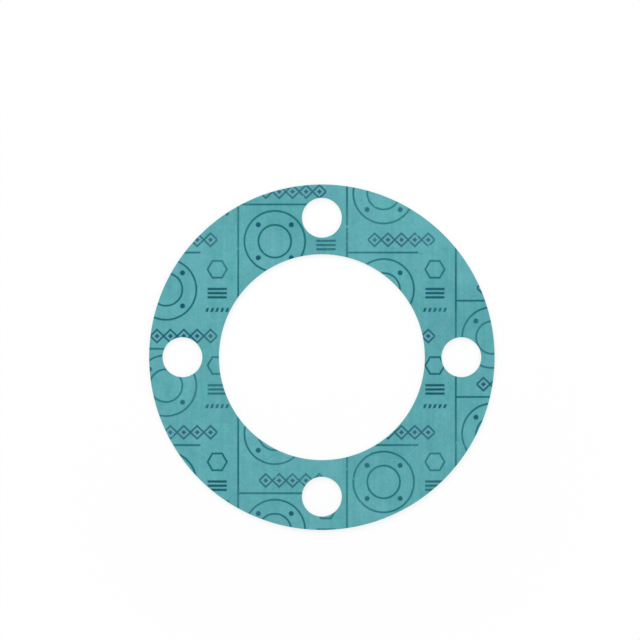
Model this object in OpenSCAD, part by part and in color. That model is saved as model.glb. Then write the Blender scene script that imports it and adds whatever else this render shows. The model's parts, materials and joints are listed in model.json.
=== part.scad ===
// Flat full-face gasket for a four-bolt flange, die cut in one piece from compressed fibre sheet.
// It lies on its lower face. The origin is the middle of that face, and +Z is the axis of the
// middle opening. Lengths are in millimetres.

/* [Sheet] */
// Thickness of the sheet
sheet_t = 1.6; // [0.8:0.1:6.4]

/* [Middle opening] */
// Diameter of the opening in the middle
bore_d = 98.425; // [40:0.025:200]

/* [Bolt holes] */
// Number of bolt holes, evenly spaced from +X
bolt_count = 4; // [2:1:8]
// Diameter of the bolts that pass through
bolt_d = 15.875; // [6:0.025:24]
// How much wider a bolt hole is than its bolt
bolt_clearance = 3.175; // [1:0.025:6]

/* [Widths of sheet left round the bolt holes] */
// Between a bolt hole and the middle opening
inner_land = 7.9375; // [2:0.0625:30]
// Between a bolt hole and the outer edge
outer_land = 6.35; // [2:0.05:30]

/* [Cut edges] */
// Radius of the upper edges, where the sheet draws down as the die goes in
roll_r = 0.2; // [0.05:0.05:0.4]
// Size of the bevel on the lower edges, where the die breaks out
break_w = 0.1; // [0.05:0.05:0.3]

/* [Hidden] */
$fn = 180;
// Teal of the sheet
sheet_colour = [0.38, 0.66, 0.69];
// Diameter of a bolt hole
hole_d = bolt_d + bolt_clearance;
// Diameter of the circle that the bolt holes are centred on
bolt_circle_d = bore_d + 2 * inner_land + hole_d;
// Diameter of the outer edge
outer_d = bolt_circle_d + hole_d + 2 * outer_land;
// Height at which the straight wall of an edge ends and its rolled part starts
roll_z = sheet_t - roll_r;
// How far a cutter reaches past the faces of the sheet
overcut = 1;

// Disc that the die cuts round, with its upper edge rolled over and its lower edge bevelled
module blank() {
    edge_r = outer_d / 2;
    rotate_extrude() {
        polygon([
            [0, 0],
            [edge_r - break_w, 0],
            [edge_r, break_w],
            [edge_r, roll_z],
            [edge_r - roll_r, roll_z],
            [edge_r - roll_r, sheet_t],
            [0, sheet_t]
        ]);
        translate([edge_r - roll_r, roll_z]) circle(r = roll_r);
    }
}

// What the die takes out for a round opening of diameter d. It leaves the same two edges
// on the wall of the opening as the blank has on its rim.
module opening(d) {
    wall_r = d / 2;
    rotate_extrude() difference() {
        polygon([
            [0, -overcut],
            [wall_r + break_w + overcut, -overcut],
            [wall_r, break_w],
            [wall_r, roll_z],
            [wall_r + roll_r, roll_z],
            [wall_r + roll_r, sheet_t + overcut],
            [0, sheet_t + overcut]
        ]);
        translate([wall_r + roll_r, roll_z]) circle(r = roll_r);
    }
}

// What the die takes out for the bolt holes, evenly spaced on the bolt circle
module bolt_openings() {
    for (i = [0 : bolt_count - 1])
        rotate([0, 0, 360 * i / bolt_count])
            translate([bolt_circle_d / 2, 0, 0])
                opening(hole_d);
}

module gasket() {
    color(sheet_colour) difference() {
        blank();
        opening(bore_d);
        bolt_openings();
    }
}

gasket();
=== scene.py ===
"""A flat flange gasket, die cut from compressed fibre sheet with a printed upper face.

It lies on a white floor in soft light, and the camera looks straight down on it. Lengths are in
metres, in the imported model's frame: the lower face is at z = 0, and +Z is the sheet's axis.
"""

import itertools
import json
import math

import bmesh
import bpy
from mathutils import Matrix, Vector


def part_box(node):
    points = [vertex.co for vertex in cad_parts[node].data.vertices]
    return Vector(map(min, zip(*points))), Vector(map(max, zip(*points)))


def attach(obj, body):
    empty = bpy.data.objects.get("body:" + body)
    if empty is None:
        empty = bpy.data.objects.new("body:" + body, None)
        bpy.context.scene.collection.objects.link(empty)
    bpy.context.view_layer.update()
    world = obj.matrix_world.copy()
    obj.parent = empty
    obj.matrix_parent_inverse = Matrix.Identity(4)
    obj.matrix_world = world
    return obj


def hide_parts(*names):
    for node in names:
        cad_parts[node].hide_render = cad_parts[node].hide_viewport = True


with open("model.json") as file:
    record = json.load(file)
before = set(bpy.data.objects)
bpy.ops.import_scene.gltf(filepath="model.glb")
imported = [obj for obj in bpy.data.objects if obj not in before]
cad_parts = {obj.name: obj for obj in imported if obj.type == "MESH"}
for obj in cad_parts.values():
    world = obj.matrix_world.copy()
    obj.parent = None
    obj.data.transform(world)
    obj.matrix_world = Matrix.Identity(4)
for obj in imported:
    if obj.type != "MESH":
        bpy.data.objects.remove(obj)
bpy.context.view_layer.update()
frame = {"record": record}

# Sizes of the gasket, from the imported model

MM = 0.001
mounts = {mount["name"]: mount for mount in frame["record"]["mounts"]}
bore_dims, bolt_dims = mounts["bore"]["dims"], mounts["bolts"]["dims"]
sheet_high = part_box("gasket")[1]

RIM_R = sheet_high.x
SHEET_T = sheet_high.z
BORE_R = bore_dims["r_mm"] * MM
HOLE_R = bolt_dims["hole_r_mm"] * MM
HOLE_COUNT = bolt_dims["count"]
BOLT_CIRCLE_R = bolt_dims["pcd_mm"] * MM / 2
# The bore's mount spans the straight part of the wall, between a rolled upper edge and a
# bevelled lower one
wall_middle = mounts["bore"]["pos_m"][2]
wall_half = bore_dims["length_mm"] * MM / 2
ROLL_R = SHEET_T - (wall_middle + wall_half)
BREAK_W = wall_middle - wall_half

# How the sheet is divided

# A sector is the part of the ring round one bolt hole. Its half width is an angle, and the turns
# bring the sector on +X to each of the places.
SECTOR_HALF = math.pi / HOLE_COUNT
SECTOR_TURNS = [2 * math.pi * k / HOLE_COUNT for k in range(HOLE_COUNT)]
# Steps round a sector's outer or inner arc
ARC_STEPS = 96
# Steps along the straight side between two sectors
SIDE_STEPS = 14
# Rows of faces from a bolt hole out to its sector's outline
FLAT_ROWS = 5
# Steps round a rolled edge
ROLL_STEPS = 5
# Steps down a straight wall
WALL_STEPS = 4


def add_object(name, data):
    """A new object in the scene, made of this data."""
    made = bpy.data.objects.new(name, data)
    bpy.context.scene.collection.objects.link(made)
    return made


# Form of the sheet


def polar(radius, angle, centre=(0, 0)):
    """The point at this distance and in this direction from the centre."""
    return centre[0] + radius * math.cos(angle), centre[1] + radius * math.sin(angle)


def turned(points, angle):
    """The points, turned about the sheet's axis."""
    c, s = math.cos(angle), math.sin(angle)
    return [(x * c - y * s, x * s + y * c) for x, y in points]


def between(a, b, share):
    """The point that lies this share of the way from a to b."""
    return a[0] + (b[0] - a[0]) * share, a[1] + (b[1] - a[1]) * share


def arc_angles(sectors):
    """Even steps round this many sectors, from the start of the one on +X."""
    return [SECTOR_HALF * (2 * i / ARC_STEPS - 1) for i in range(ARC_STEPS * sectors)]


def sector_outline(inner_r, outer_r):
    """Points round the sector whose bolt hole is on +X."""
    arc = arc_angles(sectors=1)
    side = [outer_r + (inner_r - outer_r) * i / SIDE_STEPS for i in range(SIDE_STEPS)]
    outline = [(outer_r, angle) for angle in arc]
    outline += [(radius, SECTOR_HALF) for radius in side]
    outline += [(inner_r, -angle) for angle in arc]
    outline += [(inner_r + outer_r - radius, -SECTOR_HALF) for radius in side]
    return [polar(radius, angle) for radius, angle in outline]


def hole_angles():
    """Places round a bolt hole, one for each point of its sector's outline. Straight lines
    between the two don't cross each other or the middle opening."""
    # Where the lines to the outline's outer and inner corners start
    outer_corner, inner_corner = math.radians(80), math.radians(115)
    turns = [(-outer_corner, outer_corner, ARC_STEPS),
             (outer_corner, inner_corner, SIDE_STEPS),
             (inner_corner, 2 * math.pi - inner_corner, ARC_STEPS),
             (-inner_corner, -outer_corner, SIDE_STEPS)]
    return [start + (end - start) * i / steps for start, end, steps in turns for i in range(steps)]


def edge_section():
    """Points down a cut edge, from the upper face to the lower one: how far each is in from the
    wall, its height, and its distance along the section."""
    points = []
    for i in range(ROLL_STEPS + 1):
        angle = math.pi / 2 * i / ROLL_STEPS
        points.append((ROLL_R * (1 - math.sin(angle)), SHEET_T - ROLL_R * (1 - math.cos(angle))))
    wall_top = SHEET_T - ROLL_R
    for i in range(1, WALL_STEPS + 1):
        points.append((0, wall_top + (BREAK_W - wall_top) * i / WALL_STEPS))
    points.append((BREAK_W, 0))
    steps = [0.0] + [math.dist(a, b) for a, b in zip(points, points[1:])]
    return [(*point, along) for point, along in zip(points, itertools.accumulate(steps))]


EDGE_SECTION = edge_section()
EDGE_LENGTH = EDGE_SECTION[-1][2]
# Width of the square that the sheet's map shows, with the rim's edge laid out round it
MAP_MARGIN = 0.8 * MM
MAP_SPAN = 2 * (RIM_R - ROLL_R + EDGE_LENGTH + MAP_MARGIN)
# The lower face is drawn small in the upper one's middle opening, which the map leaves free
UNDERSIDE_SCALE = (BORE_R + ROLL_R - EDGE_LENGTH - MAP_MARGIN) / RIM_R


def on_map(x, y):
    """A place on the map, whose sides run from 0 to 1."""
    return 0.5 + x / MAP_SPAN, 0.5 + y / MAP_SPAN


def flat_face(upper):
    """Mesh faces of the sheet's upper or lower face: grids that run from each bolt hole out to
    its sector's outline. Each is its corners' places and their places on the map."""
    inset, z = (ROLL_R, SHEET_T) if upper else (BREAK_W, 0)
    outline = sector_outline(BORE_R + inset, RIM_R - inset)
    centre = (BOLT_CIRCLE_R, 0)
    hole = [polar(HOLE_R + inset, angle, centre) for angle in hole_angles()]
    rows = [[between(a, b, i / FLAT_ROWS) for a, b in zip(hole, outline)]
            for i in range(FLAT_ROWS + 1)]
    faces = []
    for turn in SECTOR_TURNS:
        grid = [turned(row, turn) for row in rows]
        for near, far in zip(grid, grid[1:]):
            for i in range(len(near)):
                corners = (near[i - 1], near[i], far[i], far[i - 1])
                if upper:
                    spots = [on_map(x, y) for x, y in corners]
                else:
                    spots = [on_map(-x * UNDERSIDE_SCALE, y * UNDERSIDE_SCALE) for x, y in corners]
                faces.append(([(x, y, z) for x, y in corners], spots))
    return faces


def cut_edge(radius, angles, centre=(0, 0), side=-1):
    """Mesh faces of one cut edge, as flat_face gives them. side is 1 where the sheet is inside
    the circle, as at the rim, and -1 where it is outside, as round a hole. On the map the edge
    is laid out flat from the upper face."""
    faces = []
    for (in_a, z_a, along_a), (in_b, z_b, along_b) in zip(EDGE_SECTION, EDGE_SECTION[1:]):
        for i in range(len(angles)):
            near, far = angles[i - 1], angles[i]
            corners, spots = [], []
            for angle, inset, z, along in ((near, in_a, z_a, along_a), (far, in_a, z_a, along_a),
                                           (far, in_b, z_b, along_b), (near, in_b, z_b, along_b)):
                corners.append((*polar(radius - side * inset, angle, centre), z))
                spots.append(on_map(*polar(radius + side * (along - ROLL_R), angle, centre)))
            faces.append((corners, spots))
    return faces


def sheet_edges():
    """Mesh faces of all the cut edges: the rim, the middle opening and the bolt holes."""
    edges = cut_edge(RIM_R, arc_angles(HOLE_COUNT), side=1)
    edges += cut_edge(BORE_R, arc_angles(HOLE_COUNT))
    for turn in SECTOR_TURNS:
        edges += cut_edge(HOLE_R, [angle + turn for angle in hole_angles()],
                          centre=polar(BOLT_CIRCLE_R, turn))
    return edges


def make_sheet():
    """The whole sheet as one closed mesh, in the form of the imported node."""
    flats = flat_face(upper=True) + flat_face(upper=False)
    sheet = bmesh.new()
    # A map of the whole sheet, named OFBake. The export keeps a map with this name and
    # bakes the material onto it
    sheet_map = sheet.loops.layers.uv.new("OFBake")
    for faces, smooth in ((flats, False), (sheet_edges(), True)):
        for corners, spots in faces:
            face = sheet.faces.new([sheet.verts.new(corner) for corner in corners])
            face.smooth = smooth
            for loop, spot in zip(face.loops, spots):
                loop[sheet_map].uv = spot
    bmesh.ops.remove_doubles(sheet, verts=sheet.verts, dist=0.001 * MM)
    bmesh.ops.recalc_face_normals(sheet, faces=sheet.faces)
    mesh = bpy.data.meshes.new("fibre_sheet")
    sheet.to_mesh(mesh)
    sheet.free()
    mesh.set_sharp_from_angle(angle=math.radians(30))
    return add_object("fibre_sheet", mesh)


# Patterns that vary over a surface, as shader nodes


class Field:
    """A number, a place or a colour that varies over a surface. Arithmetic on a field of
    numbers adds shader nodes."""

    def __init__(self, tree, socket):
        self.tree = tree
        self.socket = socket

    def math(self, operation, *others):
        node = self.tree.nodes.new("ShaderNodeMath")
        node.operation = operation
        for entry, value in zip(node.inputs, (self, *others)):
            fill(entry, value)
        return Field(self.tree, node.outputs[0])

    def __add__(self, other):
        return self.math("ADD", other)

    def __sub__(self, other):
        return self.math("SUBTRACT", other)

    def __mul__(self, other):
        return self.math("MULTIPLY", other)

    def __abs__(self):
        return self.math("ABSOLUTE")

    def floor(self):
        return self.math("FLOOR")

    def modulo(self, pitch):
        return self.math("FLOORED_MODULO", pitch)

    def centred(self, pitch):
        """How far past the middle of its own stretch of this length the number is. The first
        stretch starts at 0."""
        return self.modulo(pitch) - pitch / 2

    def ramp(self, start, end, low=0.0, high=1.0):
        """Goes smoothly from low at start to high at end, and stays level outside them."""
        node = self.tree.nodes.new("ShaderNodeMapRange")
        node.interpolation_type = "SMOOTHSTEP"
        levels = {"Value": self, "From Min": start, "From Max": end, "To Min": low, "To Max": high}
        for name, level in levels.items():
            fill(node.inputs[name], level)
        return Field(self.tree, node.outputs["Result"])


def fill(entry, value):
    """Feeds a node's input from a field, or sets it to a fixed value."""
    if isinstance(value, Field):
        value.tree.links.new(value.socket, entry)
    else:
        entry.default_value = value


def least(first, *others):
    for other in others:
        first = first.math("MINIMUM", other)
    return first


def most(first, *others):
    for other in others:
        first = first.math("MAXIMUM", other)
    return first


def length(x, y):
    return (x * x + y * y).math("SQRT")


def surface(tree):
    """The place of a point of the surface, and the direction that the surface faces there."""
    node = tree.nodes.new("ShaderNodeTexCoord")
    return Field(tree, node.outputs["Object"]), Field(tree, node.outputs["Normal"])


def parts_of(vector):
    """The x, y and z of a place or a direction."""
    node = vector.tree.nodes.new("ShaderNodeSeparateXYZ")
    fill(node.inputs[0], vector)
    return [Field(vector.tree, part) for part in node.outputs]


def noise(here, size, detail=2.0, roughness=0.5, shift=0.0):
    """Noise from 0 to 1 in blobs of about this size, which is one number or three, one for each
    axis. shift picks another part of the noise."""
    sizes = size if isinstance(size, tuple) else (size, size, size)
    scaled = here.tree.nodes.new("ShaderNodeVectorMath")
    scaled.operation = "MULTIPLY_ADD"
    fill(scaled.inputs[0], here)
    fill(scaled.inputs[1], [1 / part for part in sizes])
    fill(scaled.inputs[2], (shift, shift * 2, shift * 3))
    cloud = here.tree.nodes.new("ShaderNodeTexNoise")
    fill(cloud.inputs["Vector"], Field(here.tree, scaled.outputs[0]))
    fill(cloud.inputs["Scale"], 1)
    fill(cloud.inputs["Detail"], detail)
    fill(cloud.inputs["Roughness"], roughness)
    return Field(here.tree, cloud.outputs["Fac"])


def mixed(share, first, second):
    """The first colour where share is 0 and the second where it is 1."""
    node = share.tree.nodes.new("ShaderNodeMix")
    node.data_type = "RGBA"
    fill(node.inputs["Factor"], share)
    for name, colour in (("A", first), ("B", second)):
        fill(next(i for i in node.inputs if i.name == name and i.type == "RGBA"), colour)
    return Field(share.tree, next(o for o in node.outputs if o.type == "RGBA"))


# Shapes of the print

# Lengths in this section are in millimetres. Each shape is a signed distance, which is below
# zero inside the shape.

# Size of a repeat. Every other column of repeats is half a repeat lower.
REPEAT_W, REPEAT_H = 52.0, 46.0
# Where one repeat has its lower left corner
CORNER_X, CORNER_Y = 12.0, 4.0
# Width of the thin lines
LINE_W = 0.88
# Places in a repeat, from its middle
FLANGE_X, FLANGE_Y = -8.5, 5.4
LOZENGES_Y = -16.9
COLUMN_X = 16.0
NUT_Y, BARS_Y, DASHES_Y = 15.0, 3.6, -4.4
# Where the level rule between two repeats stops, short of the column
RULE_END_X = 8.0


def outlined(distance, width=LINE_W):
    """A line of this width along the edge of a shape."""
    return abs(distance) - width / 2


def disc(x, y, radius):
    return length(x, y) - radius


def bar(x, y, half_w, half_h):
    return most(abs(x) - half_w, abs(y) - half_h)


def flange_mark(x, y):
    """A flange drawn in outline, and its four bolt holes as dots."""
    rim_r, bore_r, dot_xy, dot_r = 14.5, 7.8, 7.9, 1.2
    rings = least(outlined(disc(x, y, rim_r)), outlined(disc(x, y, bore_r)))
    return rings, disc(abs(x) - dot_xy, abs(y) - dot_xy, dot_r)


def nut_mark(x, y):
    """A hexagon in outline, with two of its sides level."""
    half_flats, slope = 4.0, math.radians(30)
    slanted = abs(x) * math.cos(slope) + abs(y) * math.sin(slope)
    return outlined(most(slanted, abs(y)) - half_flats)


def bar_stack(x, y):
    """Three level bars, one above the other."""
    count, pitch, half_w, half_h = 3, 2.0, 4.6, 0.55
    bars = bar(x, (y + count * pitch / 2).centred(pitch), half_w, half_h)
    return most(bars, abs(y) - count * pitch / 2)


def dash_row(x, y):
    """Five short slanted dashes in a row."""
    count, pitch, half_w, half_h, slant = 5, 2.4, 0.6, 0.95, 0.35
    sheared = x - y * slant
    dashes = bar((sheared + count * pitch / 2).centred(pitch), y, half_w, half_h)
    return most(dashes, abs(sheared) - count * pitch / 2)


def lozenge_row(x, y):
    """Five lozenges in heavy outline, point to point, each with a small solid one inside. Also
    the whole area that they take up."""
    count, pitch, half_h, line_w, core_inset = 5, 6.4, 3.1, 0.8, 1.4
    half_w = pitch / 2
    to_edge = half_w * half_h / math.hypot(half_w, half_h)
    across = abs((x + count * half_w).centred(pitch))
    lozenge = (across * (1 / half_w) + abs(y) * (1 / half_h) - 1) * to_edge
    ends = abs(x) - count * half_w
    return most(least(outlined(lozenge, line_w), lozenge + core_inset), ends), most(lozenge, ends)


def print_shapes(x, y):
    """Signed distances of the thin lines, of the heavy marks, and of the lozenges' whole area."""
    x, y = x - CORNER_X, y - CORNER_Y
    column = (x * (1 / REPEAT_W)).floor()
    y = y + column.modulo(2) * (REPEAT_H / 2)
    x, y = x.centred(REPEAT_W), y.centred(REPEAT_H)
    upright = outlined(abs(x) - REPEAT_W / 2)
    rule = most(outlined(abs(y) - REPEAT_H / 2), x - RULE_END_X)
    flange, dots = flange_mark(x - FLANGE_X, y - FLANGE_Y)
    nut = nut_mark(x - COLUMN_X, y - NUT_Y)
    bars = bar_stack(x - COLUMN_X, y - BARS_Y)
    dashes = dash_row(x - COLUMN_X, y - DASHES_Y)
    lozenges, lozenge_area = lozenge_row(x, y - LOZENGES_Y)
    return least(upright, rule, flange, nut), least(dots, bars, dashes, lozenges), lozenge_area


# Material of the sheet

# A name that ends in SPAN holds the two levels between which a ramp runs


def srgb(red, green, blue):
    """A colour given from 0 to 255 as it shows on a screen, as the linear colour of a shader."""
    parts = (part / 255 for part in (red, green, blue))
    return (*(c / 12.92 if c <= 0.04045 else ((c + 0.055) / 1.055) ** 2.4 for c in parts), 1)


# The bare face goes from deep to pale and from a greener to a bluer teal
GREENER_DEEP, GREENER_PALE = srgb(78, 160, 164), srgb(97, 177.5, 181)
BLUER_DEEP, BLUER_PALE = srgb(86, 158.5, 166.5), srgb(104, 175.5, 184)
# Sizes of the patterns in its tone, and the share that each of them has
CLOUD, CLOUD_SHARE = 14 * MM, 0.46
STREAK, STREAK_SHARE = (1.8 * MM, 45 * MM, 9 * MM), 0.16
DRIFT, DRIFT_SHARE = 52 * MM, 0.26
GRAIN, GRAIN_SHARE = (0.5 * MM, 0.7 * MM, 0.5 * MM), 0.12
TONE_SPAN, HUE_SPAN = (0.37, 0.63), (0.36, 0.64)


def bare_face(here, grain):
    """Colour of a face without fibres or ink: clouds, wide drifts and faint long streaks."""
    clouds = noise(here, CLOUD, detail=5, roughness=0.9)
    streaks = noise(here, STREAK, shift=3.7)
    drift = noise(here, DRIFT, shift=4.6)
    tone = (clouds * CLOUD_SHARE + streaks * STREAK_SHARE + drift * DRIFT_SHARE
            + grain * GRAIN_SHARE).ramp(*TONE_SPAN)
    hue = noise(here, CLOUD, detail=5, roughness=0.95, shift=5.9).ramp(*HUE_SPAN)
    return mixed(hue, mixed(tone, GREENER_DEEP, GREENER_PALE), mixed(tone, BLUER_DEEP, BLUER_PALE))


# Fibres follow the level lines of one noise, and a second one cuts them into pieces
FIBRE_CURL, FIBRE_PIECE = 2.1 * MM, 2.2 * MM
FIBRE_EDGE_SPAN, FIBRE_END_SPAN = (0.036, 0.014), (0.52, 0.6)
FIBRE_PALE, FIBRE_DEEP = srgb(128, 190, 193), srgb(60, 138, 146)
PALE_FIBRE_SHARE, DEEP_FIBRE_SHARE = 0.26, 0.30
FLECK, FLECK_SPAN, FLECK_SHARE = 0.9 * MM, (0.26, 0.18), 0.5


def short_fibres(here, shift):
    """Curved fibres 1 to 3 mm long."""
    level_lines = abs(noise(here, FIBRE_CURL, detail=0, shift=shift) - 0.5)
    pieces = noise(here, FIBRE_PIECE, detail=0, shift=shift + 0.7)
    return level_lines.ramp(*FIBRE_EDGE_SPAN) * pieces.ramp(*FIBRE_END_SPAN)


def fibred(face, here, pale_fibres):
    """The face with pale and deep fibres and small deep flecks in it."""
    flecks = noise(here, FLECK, detail=1, shift=1.4).ramp(*FLECK_SPAN)
    face = mixed(pale_fibres * PALE_FIBRE_SHARE, face, FIBRE_PALE)
    face = mixed(short_fibres(here, shift=9.4) * DEEP_FIBRE_SHARE, face, FIBRE_DEEP)
    return mixed(flecks * FLECK_SHARE, face, FIBRE_DEEP)


# Size of the worn gaps in the ink, and of the areas in which it is stronger or weaker. Where it
# is stronger it wears less.
WEAR, STRENGTH = 2.6 * MM, 38 * MM
STRENGTH_IN_WEAR, WEAR_SPAN = 0.35, (0.42, 0.49)
# How much of the ink is left where it is weakest, and in a pinhole
STRENGTH_LOW, STRENGTH_SPAN = 0.78, (0.35, 0.6)
PINHOLE_LOW, PINHOLE_SPAN = 0.72, (0.24, 0.4)


def ink_hold(here, grain):
    """How much of the ink is left, from 0 to 1, with its worn gaps and its pinholes."""
    wear = noise(here, WEAR, detail=3, roughness=0.6, shift=2.6)
    strength = noise(here, STRENGTH, detail=1, shift=6.4)
    unworn = (wear + strength * STRENGTH_IN_WEAR).ramp(*WEAR_SPAN)
    pinholes = grain.ramp(*PINHOLE_SPAN, PINHOLE_LOW, 1)
    return unworn * strength.ramp(*STRENGTH_SPAN, STRENGTH_LOW, 1) * pinholes


# In millimetres, as the shapes are: how far the ink fades on either side of a shape's edge, how
# far the grain shifts that edge, and how far the lozenges' tint fades in from theirs
INK_FADE, INK_SPREAD, TINT_FADE = 0.3, 0.36, 0.6
LOZENGE_TINT, TINT_SHARE = srgb(107, 165, 178), 0.5
# The ink's hue wanders, most of all where the ink lies thick
INK_HUE, INK_HUE_SPAN = 5 * MM, (0.38, 0.62)
LINE_INK_GREENER, LINE_INK_BLUER = srgb(0, 99, 106), srgb(0, 97, 111)
HEAVY_INK_GREENER, HEAVY_INK_BLUER = srgb(0, 84, 92), srgb(0, 79, 109)


def printed(face, here, grain):
    """The face with the print on its upper side, and how much ink is where."""
    x, y, z = parts_of(here)
    # The ink ends part of the way down the rolled edges
    upper = z.ramp(SHEET_T - ROLL_R, SHEET_T - ROLL_R / 2)
    lines, heavy, lozenge_area = print_shapes(x * (1 / MM), y * (1 / MM))
    hold = ink_hold(here, grain) * upper
    spread = (grain - 0.5) * INK_SPREAD
    line_ink = (lines + spread).ramp(INK_FADE, -INK_FADE) * hold
    heavy_ink = (heavy + spread).ramp(INK_FADE, -INK_FADE) * hold
    hue = noise(here, INK_HUE, detail=1, shift=7.3).ramp(*INK_HUE_SPAN)
    face = mixed(lozenge_area.ramp(0, -TINT_FADE) * upper * TINT_SHARE, face, LOZENGE_TINT)
    face = mixed(line_ink, face, mixed(hue, LINE_INK_GREENER, LINE_INK_BLUER))
    face = mixed(heavy_ink, face, mixed(hue, HEAVY_INK_GREENER, HEAVY_INK_BLUER))
    return face, most(line_ink, heavy_ink)


# The cut walls show the sheet's layers
LAYER, LAYER_SPAN = (1.5 * MM, 1.5 * MM, 0.12 * MM), (0.35, 0.65)
CUT_DEEP, CUT_PALE = srgb(82, 146, 150), srgb(130, 186, 188)
# How far up or down the surface faces where a flat face gives way to a wall
WALL_SPAN = (0.85, 0.45)
# The sheet's roughness, and what the grain, the ink and the cut add to it
ROUGH, ROUGH_GRAIN, ROUGH_INK, ROUGH_CUT = 0.52, 0.16, -0.10, 0.25
# A low specular level, because the sheet is matte
SPECULAR = 0.13
# What raises the surface, and how deep the whole relief goes
RAISED_GRAIN, RAISED_FIBRES, RAISED_LAYERS = 0.6, 0.4, 1.6
RELIEF_DEPTH, RELIEF_STRENGTH = 0.05 * MM, 0.5


def bumped(height):
    """The direction that the surface faces with this relief on it."""
    node = height.tree.nodes.new("ShaderNodeBump")
    fill(node.inputs["Strength"], RELIEF_STRENGTH)
    fill(node.inputs["Distance"], RELIEF_DEPTH)
    fill(node.inputs["Height"], height)
    return Field(height.tree, node.outputs[0])


def new_material(name):
    """A new node material, its Principled shader and its tree."""
    material = bpy.data.materials.new(name)
    material.use_nodes = True
    tree = material.node_tree
    return material, tree.nodes["Principled BSDF"], tree


def sheet_material():
    """Calendered fibre sheet, teal right through: cloudy faces with the print on the upper one,
    and rougher, paler walls where the die has cut it."""
    material, shader, tree = new_material("fibre_sheet")
    here, facing = surface(tree)
    grain = noise(here, GRAIN, detail=3, roughness=0.6, shift=8.1)
    pale_fibres = short_fibres(here, shift=5.3)
    layers = noise(here, LAYER, detail=3, roughness=0.65, shift=4.4)
    wall = abs(parts_of(facing)[2]).ramp(*WALL_SPAN)

    face, ink = printed(fibred(bare_face(here, grain), here, pale_fibres), here, grain)
    colour = mixed(wall, face, mixed(layers.ramp(*LAYER_SPAN), CUT_DEEP, CUT_PALE))
    rough = grain * ROUGH_GRAIN + ROUGH + ink * ROUGH_INK + wall * ROUGH_CUT
    relief = grain * RAISED_GRAIN + pale_fibres * RAISED_FIBRES + layers * wall * RAISED_LAYERS
    fill(shader.inputs["Base Color"], colour)
    fill(shader.inputs["Roughness"], rough)
    fill(shader.inputs["Normal"], bumped(relief))
    shader.inputs["Specular IOR Level"].default_value = SPECULAR
    return material


# Surroundings

# Half of the floor's width
FLOOR_HALF = 4.0
# Clear of the lower face, so that the two don't lie in one plane
FLOOR_Z = -0.02 * MM
# Share of the floor's white that is its own glow, near the gasket. Between these two distances
# from the middle the share rises to 1, and the shadow fades out.
GLOW_NEAR = 0.74
SHADOW_FROM, SHADOW_TO = 0.095, 0.2
# Strength at which the world lights the gasket
WORLD_LIGHT = 0.64
# Name, place, width and watts of each lamp
LAMPS = (("key", (-0.5, 0.95, 0.95), 0.9, 8.6),
         ("fill", (0.9, -0.1, 1.0), 1.2, 3.0))


def is_seen_directly(tree):
    """1 for what the camera sees itself, in a mirror or through glass, and 0 for light."""
    path = tree.nodes.new("ShaderNodeLightPath")
    rays = [Field(tree, path.outputs[name])
            for name in ("Is Camera Ray", "Is Glossy Ray", "Is Transmission Ray")]
    return most(*rays)


def floor_material():
    """Matte white that shows as plain white and still keeps the gasket's shadow near it."""
    material, shader, tree = new_material("white_floor")
    shader.inputs["Base Color"].default_value = (1, 1, 1, 1)
    shader.inputs["Roughness"].default_value = 0.9
    shader.inputs["Specular IOR Level"].default_value = 0.0
    here, _ = surface(tree)
    x, y, _ = parts_of(here)
    glow_share = length(x, y).ramp(SHADOW_FROM, SHADOW_TO, GLOW_NEAR, 1)
    glow = tree.nodes.new("ShaderNodeEmission")
    mix = tree.nodes.new("ShaderNodeMixShader")
    fill(mix.inputs[0], is_seen_directly(tree) * glow_share)
    tree.links.new(shader.outputs[0], mix.inputs[1])
    tree.links.new(glow.outputs[0], mix.inputs[2])
    tree.links.new(mix.outputs[0], tree.nodes["Material Output"].inputs["Surface"])
    return material


def make_floor():
    """A large square floor just under the gasket."""
    corners = [(sx * FLOOR_HALF, sy * FLOOR_HALF, FLOOR_Z)
               for sx, sy in ((-1, -1), (1, -1), (1, 1), (-1, 1))]
    mesh = bpy.data.meshes.new("floor")
    mesh.from_pydata(corners, [], [(0, 1, 2, 3)])
    mesh.materials.append(floor_material())
    add_object("floor", mesh)


def light_world():
    """A white world that lights at WORLD_LIGHT and shows as plain white."""
    world = bpy.data.worlds.new("studio")
    world.use_nodes = True
    tree = world.node_tree
    background = tree.nodes["Background"]
    background.inputs["Color"].default_value = (1, 1, 1, 1)
    strength = is_seen_directly(tree) * (1 - WORLD_LIGHT) + WORLD_LIGHT
    fill(background.inputs["Strength"], strength)
    bpy.context.scene.world = world


def add_lamp(name, place, size, watts):
    """A square soft lamp at place, turned to the middle of the gasket."""
    lamp = bpy.data.lights.new(name, "AREA")
    lamp.size = size
    lamp.energy = watts
    holder = add_object(name, lamp)
    holder.location = place
    holder.rotation_euler = (-holder.location).to_track_quat("-Z", "Y").to_euler()


# Framing of the photograph

# Width of its square frame, in pixels that count from the upper left corner
FRAME_PX = 640
# Where the gasket's middle is, and how wide its rim is
MIDDLE_X_PX, MIDDLE_Y_PX = 321.88, 357.2
RIM_PX = 345.54
# The camera's lens and sensor
LENS_MM = 200
SENSOR_MM = 36


def add_camera():
    """Looks straight down, with the gasket where and as large as the photograph has it."""
    per_px = 2 * RIM_R / RIM_PX
    distance = FRAME_PX * per_px * LENS_MM / SENSOR_MM
    camera = bpy.data.cameras.new("camera")
    camera.lens = LENS_MM
    camera.sensor_width = SENSOR_MM
    holder = add_object("camera", camera)
    holder.location = ((FRAME_PX / 2 - MIDDLE_X_PX) * per_px,
                       (MIDDLE_Y_PX - FRAME_PX / 2) * per_px,
                       SHEET_T + distance)
    bpy.context.scene.camera = holder


# The gasket and all that is round it

gasket = make_sheet()
gasket.data.materials.append(sheet_material())
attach(gasket, "root")
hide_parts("gasket")

make_floor()
light_world()
for name, place, size, watts in LAMPS:
    add_lamp(name, place, size, watts)
add_camera()
bpy.context.scene.view_settings.view_transform = "Standard"
